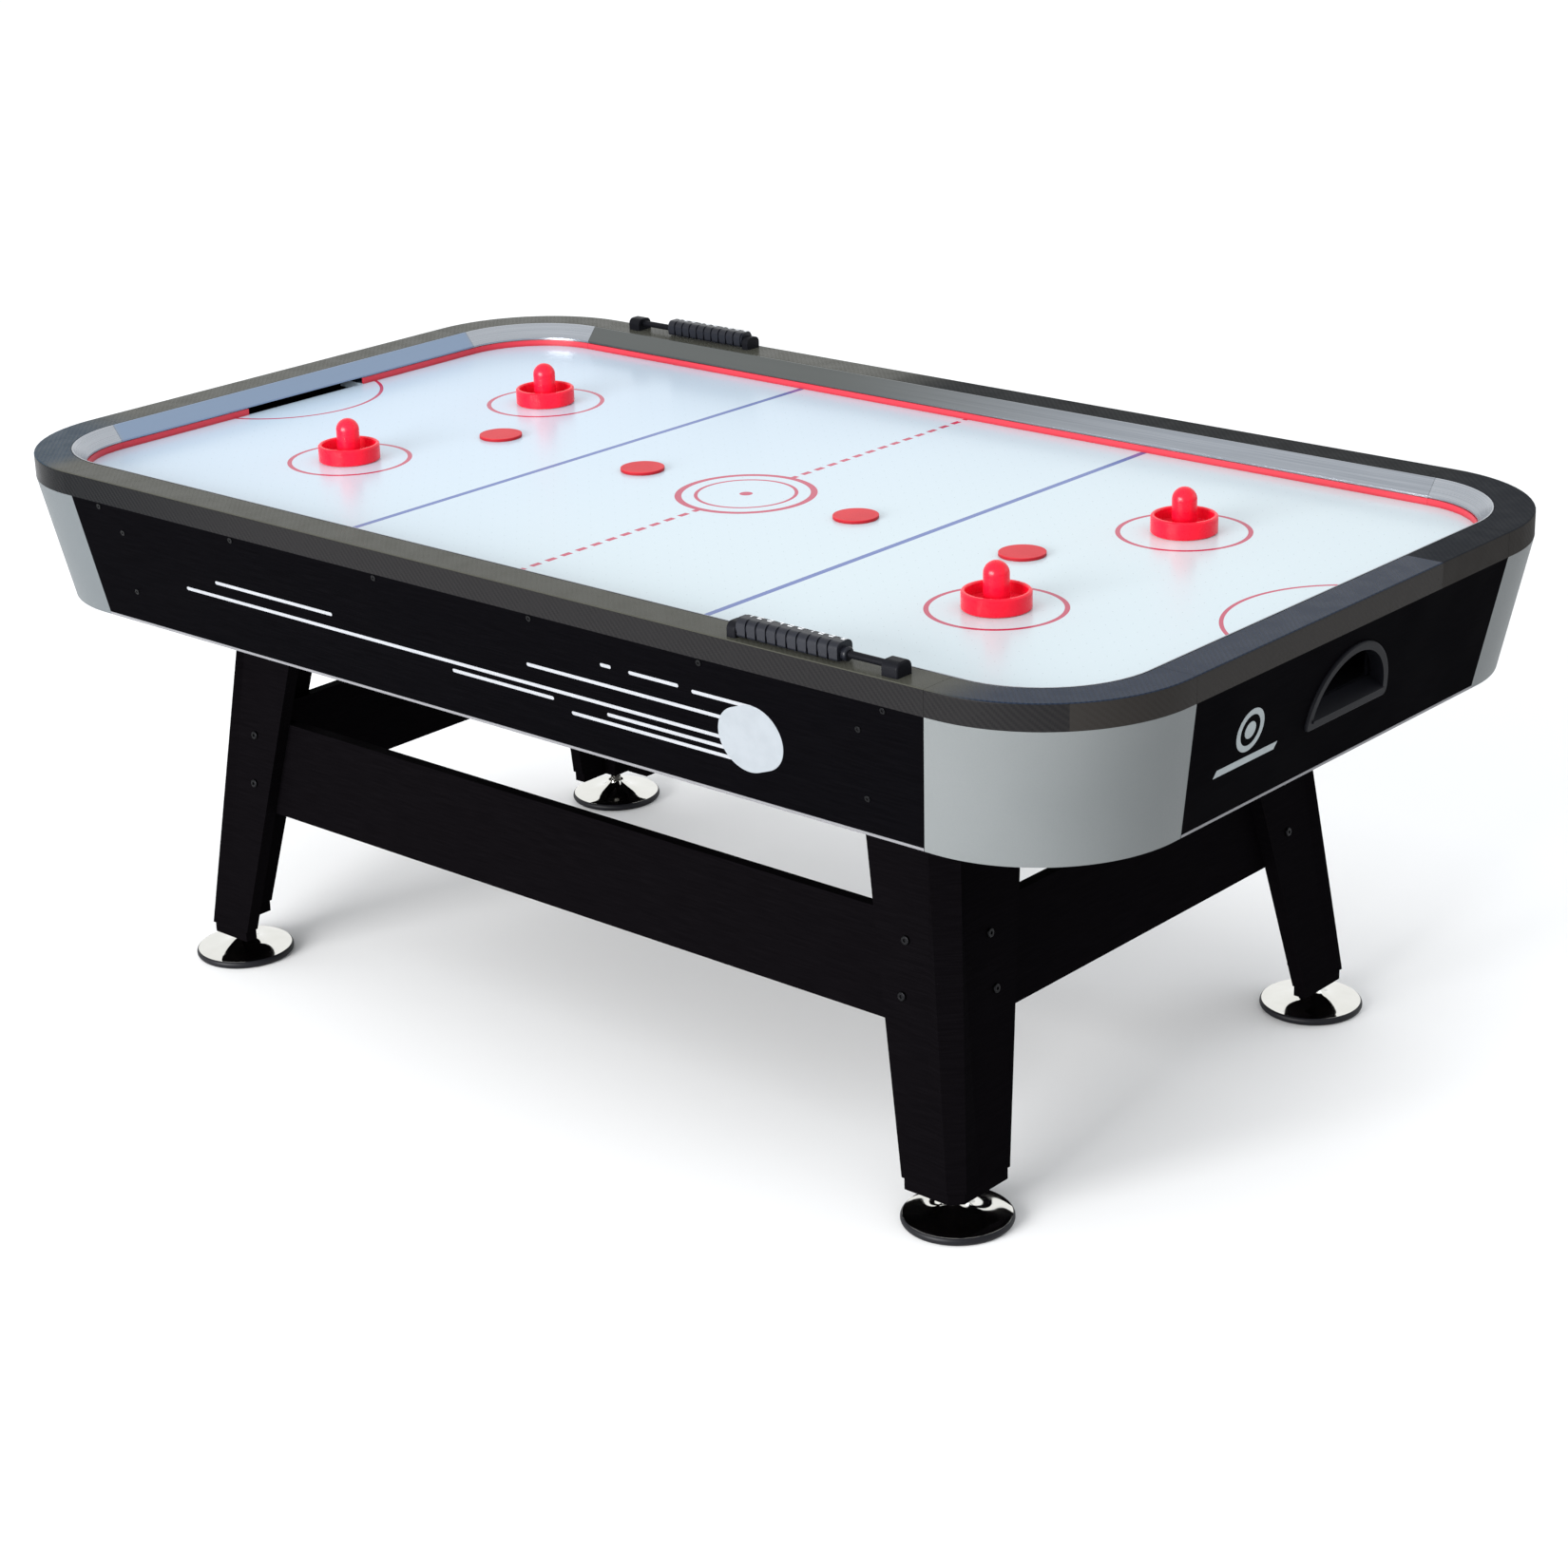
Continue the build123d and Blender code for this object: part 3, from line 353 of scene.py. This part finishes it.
def moulded(name, base, light, rough, grain_scale, glint):
    """Moulded plastic with a fine spark-eroded texture and slow changes of tone."""
    s = Shade(name, Specular_IOR_Level=glint)
    tone, grain = s.noise(6.0, 3.0), s.noise(grain_scale, 2.0, 0.6)
    pits = s.cells(grain_scale * 0.6)
    colour = s.blend(s.span(tone, 0.25, 0.75), base, light)
    deep = s.mul(s.span(pits, 0.0, 0.35, 1.0, 0.0), 0.12)
    colour = s.blend(deep, colour, tuple(c * 0.6 for c in base))
    height = s.add(grain, s.mul(pits, 0.5))
    rough = s.span(grain, 0.3, 0.7, rough - 0.05, rough + 0.05)
    return s.done(colour, rough, height, 0.00008, 0.4)


def corner_shell_grey():
    """Grained grey moulding, with painted shade at the front left corner."""
    s = Shade("shell_grey", Specular_IOR_Level=0.3)
    tone, grain = s.noise(4.0, 2.0), s.noise(900.0, 2.0, 0.6)
    pits = s.cells(700.0)
    colour = s.blend(s.span(tone, 0.3, 0.7), (0.112, 0.122, 0.124), (0.124, 0.134, 0.136))
    # Painted shade: the front left shell is painted darker and bluer.
    left = s.mul(s.span(s.x, 0.0, -0.80), s.span(s.y, 0.0, -0.30))
    colour = s.blend(s.mul(left, 0.75), colour, (0.074, 0.086, 0.094))
    colour = s.blend(s.mul(s.span(pits, 0.0, 0.5, 1.0, 0.0), 0.25), colour, (0.082, 0.090, 0.094))
    height = s.add(grain, s.mul(pits, 0.8))
    return s.done(colour, s.span(grain, 0.3, 0.7, 0.42, 0.55), height, 0.00012, 0.5)


def bumper_aluminium():
    """Satin extrusion with fine lines along it.

    Painted reflection: it is painted bluer at the left end and darker on the left part of the back.
    """
    s = Shade("bumper_aluminium")
    lines = s.noise(1.0, 4.0, 0.6, (3.0, 3.0, 900.0))
    colour = s.blend(s.span(lines, 0.3, 0.7), (0.27, 0.29, 0.32), (0.33, 0.35, 0.38))
    # Painted reflection: darker on the left part of the back.
    back = s.mul(s.span(s.x, 0.45, -0.35), s.math("GREATER_THAN", s.y, 0.4))
    colour = s.blend(back, colour, (0.125, 0.132, 0.128))
    # Painted reflection: bluer at the left end.
    left_end_painted_reflection = s.mul(s.span(s.x, -0.93, -0.98), s.span(s.size(s.y), 0.40, 0.38))
    colour = s.blend(s.mul(left_end_painted_reflection, 0.8), colour, (0.22, 0.30, 0.43))
    return s.done(colour, s.span(lines, 0.3, 0.7, 0.28, 0.42), lines, 0.00004, 0.3, 1.0)


def satin_metal(name, base, light, rough, stretch=(3.0, 3.0, 900.0)):
    """Extruded or brushed metal: fine lines along the part."""
    s = Shade(name)
    lines = s.noise(1.0, 4.0, 0.6, stretch)
    colour = s.blend(s.span(lines, 0.3, 0.7), base, light)
    rough = s.span(lines, 0.3, 0.7, rough - 0.06, rough + 0.08)
    return s.done(colour, rough, lines, 0.00004, 0.3, 1.0)


def strip_red():
    """Moulded cushion strip with drawn lines, with painted shade where it meets the field."""
    s = Shade("strip_red", Specular_IOR_Level=0.4)
    lines = s.noise(1.0, 4.0, 0.6, (6.0, 6.0, 700.0))
    # Painted shade: darker towards the field.
    low = s.span(s.z, FIELD_Z, FIELD_Z + 0.006)
    colour = s.blend(low, (0.34, 0.012, 0.026), (0.50, 0.026, 0.044))
    colour = s.blend(s.mul(lines, 0.25), colour, (0.56, 0.045, 0.06))
    return s.done(colour, s.span(lines, 0.3, 0.7, 0.32, 0.44), lines, 0.00004, 0.3)


def foot_chrome():
    """Chromed dish over a black rubber base ring."""
    s = Shade("foot_chrome", Specular_IOR_Level=0.2)
    rubber = s.math("LESS_THAN", s.z, RUBBER_TOP)
    fine = s.noise(400.0, 2.0)
    smear = s.noise(30.0, 4.0)
    metal = s.blend(smear, (0.66, 0.65, 0.60), (0.76, 0.75, 0.71))
    colour = s.blend(rubber, metal, (0.004, 0.004, 0.006))
    rough = s.add(s.mul(rubber, 0.42), s.span(smear, 0.3, 0.7, 0.03, 0.09))
    height = s.mul(fine, s.add(0.08, rubber))
    return s.done(colour, rough, height, 0.00004, 0.4, s.sub(1.0, rubber))


def stem_steel():
    """Zinc-plated stem with its thread, painted darker in the thread's roots as shade."""
    s = Shade("stem_steel")
    stem_x, stem_y = s.sub(s.size(s.x), STEM_X), s.sub(s.size(s.y), STEM_Y)
    angle = s.math("DIVIDE", s.math("ARCTAN2", stem_y, stem_x), 2 * pi)
    phase = s.math("FRACT", s.add(s.math("DIVIDE", s.z, THREAD_PITCH), angle))
    thread_and_root_shade = s.size(s.sub(phase, 0.5))
    # Painted shade: darker in the roots of the thread.
    colour = s.blend(thread_and_root_shade, (0.20, 0.19, 0.17), (0.56, 0.55, 0.52))
    return s.done(colour, s.span(s.noise(200.0), 0.3, 0.7, 0.24, 0.38), thread_and_root_shade, 0.0008, 0.9, 1.0)


def mallet_red():
    """Glossy moulded plastic with slight flow marks."""
    s = Shade("mallet_red", Specular_IOR_Level=0.3)
    tone, flow = s.noise(18.0, 3.0), s.noise(120.0, 2.0)
    colour = s.blend(s.span(tone, 0.3, 0.7), (0.74, 0.003, 0.022), (0.82, 0.006, 0.032))
    return s.done(colour, s.span(flow, 0.3, 0.7, 0.24, 0.34), flow, 0.00006, 0.3)


def puck_red():
    """Pressed disc with a fine grain and painted shade on its edge."""
    s = Shade("puck_red", Specular_IOR_Level=0.15)
    # Painted shade: the edge below the face is painted darker.
    edge = s.span(s.z, PUCK_FACE, PUCK_FACE - 0.001)
    grain = s.noise(700.0, 2.0)
    tone = s.noise(14.0, 3.0)
    colour = s.blend(s.span(tone, 0.3, 0.7), (0.52, 0.020, 0.030), (0.58, 0.028, 0.040))
    colour = s.blend(edge, colour, (0.34, 0.010, 0.018))
    return s.done(colour, s.span(grain, 0.3, 0.7, 0.38, 0.50), grain, 0.00005, 0.4)


def wood(name, base, dark):
    """Bare wood with rings and fibres along X."""
    s = Shade(name)
    rings = s.noise(1.0, 4.0, 0.6, (6.0, 90.0, 90.0))
    fibres = s.noise(1.0, 3.0, 0.6, (30.0, 700.0, 700.0), 3.0)
    colour = s.blend(s.span(rings, 0.35, 0.65), base, dark)
    return s.done(colour, s.span(fibres, 0.3, 0.7, 0.55, 0.75), fibres, 0.0001, 0.4)


def print_ink(name, base):
    """Screen print: slightly uneven ink."""
    s = Shade(name, Specular_IOR_Level=0.3)
    ink, speck = s.noise(40.0, 4.0), s.noise(1200.0, 2.0)
    colour = s.blend(s.span(ink, 0.3, 0.7), tuple(c * 0.93 for c in base), base)
    return s.done(colour, s.span(speck, 0.3, 0.7, 0.40, 0.52), speck, 0.00003, 0.3)


MATERIALS = {
    "field_laminate": field_laminate(),
    "carbon_laminate": carbon_laminate(),
    "black_board": board("black_board", (0.0013, 0.0012, 0.0016), 0.002, 0.5),
    "leg_board": board("leg_board", (0.0018, 0.0015, 0.0019), 0.002, 0.5),
    "shell_grey": corner_shell_grey(),
    "bumper_aluminium": bumper_aluminium(),
    "corner_silver": satin_metal("corner_silver", (0.34, 0.36, 0.39), (0.40, 0.42, 0.45), 0.28),
    "strip_red": strip_red(),
    "black_plastic": moulded(
        "black_plastic", (0.0040, 0.0042, 0.0056), (0.0062, 0.0064, 0.0084), 0.40, 1100.0, 0.05),
    "bead_plastic": moulded(
        "bead_plastic", (0.0065, 0.0072, 0.0105), (0.0095, 0.0105, 0.0150), 0.34, 1300.0, 0.20),
    "foot_chrome": foot_chrome(),
    "stem_steel": stem_steel(),
    "mallet_red": mallet_red(),
    "puck_red": puck_red(),
    "fastener_black": satin_metal(
        "fastener_black", (0.007, 0.007, 0.008), (0.013, 0.013, 0.014), 0.38, (400.0,) * 3),
    "motor_steel": satin_metal("motor_steel", (0.20, 0.20, 0.21), (0.28, 0.28, 0.29), 0.36),
    "raw_board": wood("raw_board", (0.40, 0.29, 0.18), (0.30, 0.21, 0.12)),
    "softwood": wood("softwood", (0.62, 0.46, 0.28), (0.48, 0.33, 0.18)),
}
for subpart in frame["record"]["subparts"]:
    node = frame["nodes"][subpart["node"]]
    node.data.materials.clear()
    node.data.materials.append(MATERIALS[subpart["material_slot"]])


# ---- thin pieces laid on the surfaces -------------------------------------------------
def front_apron_point(x, z, lift):
    """A point of the front apron's outer face at height z, raised off it by lift."""
    slope = hypot(APRON_LEAN_Y, APRON_DROP)
    y = -HALF_WIDTH + APRON_LEAN_Y * (FIELD_Z - z) / APRON_DROP
    return Vector((x, y - lift * APRON_DROP / slope, z - lift * APRON_LEAN_Y / slope))


def right_apron_point(y, z, lift):
    """The same on the +X end apron."""
    slope = hypot(APRON_LEAN_X, APRON_DROP)
    x = HALF_LENGTH - APRON_LEAN_X * (FIELD_Z - z) / APRON_DROP
    return Vector((x + lift * APRON_DROP / slope, y, z - lift * APRON_LEAN_X / slope))


def capsule(a, b, radius, steps=10):
    """Outline of a stroke with round ends between two points of a plane."""
    angle = atan2(b[1] - a[1], b[0] - a[0])
    outline = []
    for centre, start in ((b, angle - pi / 2), (a, angle + pi / 2)):
        for i in range(steps + 1):
            t = start + pi * i / steps
            outline.append((centre[0] + radius * cos(t), centre[1] + radius * sin(t)))
    return outline


def ring_outline(centre, radius, steps=48):
    """Points of a circle in a plane."""
    turns = [2 * pi * i / steps for i in range(steps)]
    return [(centre[0] + radius * cos(t), centre[1] + radius * sin(t)) for t in turns]


def join_rows(mesh, rows, n):
    """Join each row of n vertices to the next with a band of faces."""
    for lower, upper in rows:
        for i in range(n):
            mesh.faces.new((lower[i], lower[(i + 1) % n], upper[(i + 1) % n], upper[i]))


def add_plate(mesh, outline, place, low, high):
    """Add a thin closed plate: the outline at two lifts off a surface, with a small edge round."""
    n = len(outline)
    middle = Vector((sum(p[0] for p in outline) / n, sum(p[1] for p in outline) / n))
    rows = []
    for lift, shrink in ((low, 0.0), (high - PLATE_EDGE, 0.0), (high, PLATE_EDGE)):
        row = []
        for p in outline:
            toward = middle - Vector(p)
            if toward.length > 0:
                toward = toward.normalized() * shrink
            row.append(mesh.verts.new(place(p[0] + toward.x, p[1] + toward.y, lift)))
        rows.append(row)
    join_rows(mesh, zip(rows, rows[1:]), n)
    mesh.faces.new(rows[-1])
    mesh.faces.new(rows[0][::-1])


def add_ring(mesh, centre, outer, inner, place, low, high):
    """Add a thin flat ring with small edge rounds."""
    section = (
        (outer, low), (outer, high - PLATE_EDGE), (outer - PLATE_EDGE, high),
        (inner + PLATE_EDGE, high), (inner, high - PLATE_EDGE), (inner, low),
    )
    rows = []
    for radius, lift in section:
        circle = ring_outline(centre, radius)
        rows.append([mesh.verts.new(place(x, y, lift)) for x, y in circle])
    join_rows(mesh, zip(rows, rows[1:] + rows[:1]), len(rows[0]))


def piece(name, build, material, body, turned=False, shift=(0, 0, 0)):
    """Make a mesh object with a builder function, then turn it to the opposite side or shift it."""
    mesh = bmesh.new()
    build(mesh)
    if turned:
        half_turn = Matrix.Rotation(pi, 3, "Z")
        bmesh.ops.rotate(mesh, verts=mesh.verts, cent=(0, 0, 0), matrix=half_turn)
    bmesh.ops.translate(mesh, verts=mesh.verts, vec=shift)
    bmesh.ops.recalc_face_normals(mesh, faces=mesh.faces)
    data = bpy.data.meshes.new(name)
    mesh.to_mesh(data)
    mesh.free()
    made = bpy.data.objects.new(name, data)
    bpy.context.scene.collection.objects.link(made)
    made.data.materials.append(material)
    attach(made, body)


def speed_lines(mesh):
    """The thin lines behind the light round shape."""
    for x0, x1, z in SPEED_LINES:
        line = capsule((x0, z), (x1, z), SPEED_LINE_HALF)
        add_plate(mesh, line, front_apron_point, SINK, LINE_LIFT)


def speed_puck(mesh):
    """The light round shape at the head of the speed lines."""
    a, b, radius = SPEED_PUCK
    add_plate(mesh, capsule(a, b, radius, 32), front_apron_point, SINK, MARK_LIFT)


def bead_point(x, along, lift):
    """A point of a front bead's upper face, along it from its middle line towards +Y."""
    angle = max(0.0, along - BEAD_FLAT) / BEAD_EDGE
    radius = BEAD_EDGE + lift
    y = BEAD_ROW_Y + min(along, BEAD_FLAT) + radius * sin(angle)
    return Vector((x, y, BEAD_TOP - BEAD_EDGE + radius * cos(angle)))


def bead_numerals(mesh):
    """The numbers one to ten, one on each front score bead."""
    for i in range(BEADS):
        digits = [int(c) for c in str(i + 1)]
        width = DIGIT_WIDTH / len(digits) - DIGIT_TRIM
        middle = BEAD_ROW_X + BEAD_PITCH * (i + 0.5) + DIGIT_SHIFT
        for k, digit in enumerate(digits):
            left = middle - DIGIT_WIDTH / 2 + k * (width + DIGIT_SPACE)
            for name in NUMERALS[digit]:
                a, b = [(left + u * width, DIGIT_LOW + v * DIGIT_HEIGHT) for u, v in STROKES[name]]
                stroke = capsule(a, b, DIGIT_STROKE, 5)
                add_plate(mesh, stroke, bead_point, DIGIT_SINK, DIGIT_LIFT)


def apron_emblem(mesh):
    """A puck seen from above over a slanted bar."""
    add_ring(mesh, EMBLEM, EMBLEM_RING, EMBLEM_HOLE, right_apron_point, SINK, MARK_LIFT)
    for outline in (ring_outline(EMBLEM, EMBLEM_DOT, 24), EMBLEM_BAR):
        add_plate(mesh, outline, right_apron_point, SINK, MARK_LIFT)


def edge_band(mesh, half, place):
    """The pale band along the foot of an apron."""
    wide = half + BAND_FLARE
    outline = [(-half, BAND_FOOT), (half, BAND_FOOT), (wide, BAND_TOP), (-wide, BAND_TOP)]
    add_plate(mesh, outline, place, SINK, BAND_LIFT)


def front_edge_band(mesh):
    edge_band(mesh, FRONT_BAND_HALF, front_apron_point)


def right_edge_band(mesh):
    edge_band(mesh, RIGHT_BAND_HALF, right_apron_point)


# ---- the pieces -----------------------------------------------------------------------
LINE_INK = print_ink("line_ink", (0.270, 0.280, 0.298))
PUCK_INK = print_ink("puck_ink", (0.218, 0.238, 0.258))
EMBLEM_INK = print_ink("emblem_ink", (0.235, 0.265, 0.275))
NUMERAL_INK = print_ink("numeral_ink", (0.66, 0.68, 0.70))
EDGE = print_ink("edge_band_grey", (0.15, 0.15, 0.16))
piece("front_speed_lines", speed_lines, LINE_INK, "table")
piece("front_speed_puck", speed_puck, PUCK_INK, "table")
for side, other, turned in (("front", "right", False), ("back", "left", True)):
    piece(side + "_edge_band", front_edge_band, EDGE, "table", turned)
    piece(other + "_edge_band", right_edge_band, EDGE, "table", turned)
    piece(other + "_emblem", apron_emblem, EMBLEM_INK, "table", turned)
for side, shift in (("front", (0, 0, 0)), ("back", TO_BACK_ROW)):
    piece(side + "_bead_numerals", bead_numerals, NUMERAL_INK, side + "_beads",
          shift=shift)


# ---- studio and camera ----------------------------------------------------------------
def floor_material():
    """Matt pale floor, a little uneven."""
    s = Shade("studio_floor", Specular_IOR_Level=0.1)
    colour = s.blend(s.noise(0.8, 3.0), (0.90, 0.90, 0.90), (0.92, 0.92, 0.92))
    return s.done(colour, 0.7, s.noise(60.0), 0.0002, 0.1)


def studio_floor():
    """A wide floor under the feet."""
    mesh = bmesh.new()
    bmesh.ops.create_grid(mesh, x_segments=24, y_segments=24, size=30.0)
    data = bpy.data.meshes.new("studio_floor")
    mesh.to_mesh(data)
    mesh.free()
    made = bpy.data.objects.new("studio_floor", data)
    made.location.z = FLOOR_Z
    bpy.context.scene.collection.objects.link(made)
    made.data.materials.append(floor_material())


def area_light(name, place, target, size, power, colour=(1, 1, 1)):
    """A soft rectangular light aimed at a point."""
    data = bpy.data.lights.new(name, "AREA")
    data.shape = "RECTANGLE"
    data.size, data.size_y = size
    data.energy = power
    data.color = colour
    made = bpy.data.objects.new(name, data)
    made.location = place
    made.visible_camera = False
    made.rotation_euler = (Vector(target) - Vector(place)).to_track_quat("-Z", "Y").to_euler()
    bpy.context.scene.collection.objects.link(made)


def studio_world():
    """Even pale light from all round."""
    world = bpy.data.worlds.new("studio_world")
    world.use_nodes = True
    background = world.node_tree.nodes["Background"]
    background.inputs["Color"].default_value = (0.97, 0.985, 1.0, 1.0)
    background.inputs["Strength"].default_value = 1.15
    bpy.context.scene.world = world


def table_camera():
    """The camera fitted to the table's straight edges and circles."""
    azimuth, elevation, roll = (radians(angle) for angle in CAMERA_ANGLES)
    back = Vector((sin(azimuth) * cos(elevation), -cos(azimuth) * cos(elevation), sin(elevation)))
    right = Vector((cos(azimuth), sin(azimuth), 0.0))
    up = back.cross(right)
    across = right * cos(roll) + up * sin(roll)
    upward = up * cos(roll) - right * sin(roll)
    data = bpy.data.cameras.new("table_camera")
    data.sensor_width, data.lens = CAMERA_SENSOR, CAMERA_LENS
    data.clip_end = 200.0
    made = bpy.data.objects.new("table_camera", data)
    turn = Matrix((across, upward, back)).transposed()
    made.matrix_world = Matrix.Translation(CAMERA_PLACE) @ turn.to_4x4()
    bpy.context.scene.collection.objects.link(made)
    bpy.context.scene.camera = made


studio_floor()
studio_world()
area_light("key_light", (-0.4, -8.0, 2.2), (0.0, 0.0, 0.7), (5.0, 3.0), 1150.0)
area_light("window_light", (4.5, 5.0, 2.6), (0.0, 0.0, 0.8), (4.0, 2.5), 30.0, (0.75, 0.87, 1.0))
table_camera()
bpy.context.scene.view_settings.view_transform = "Standard"
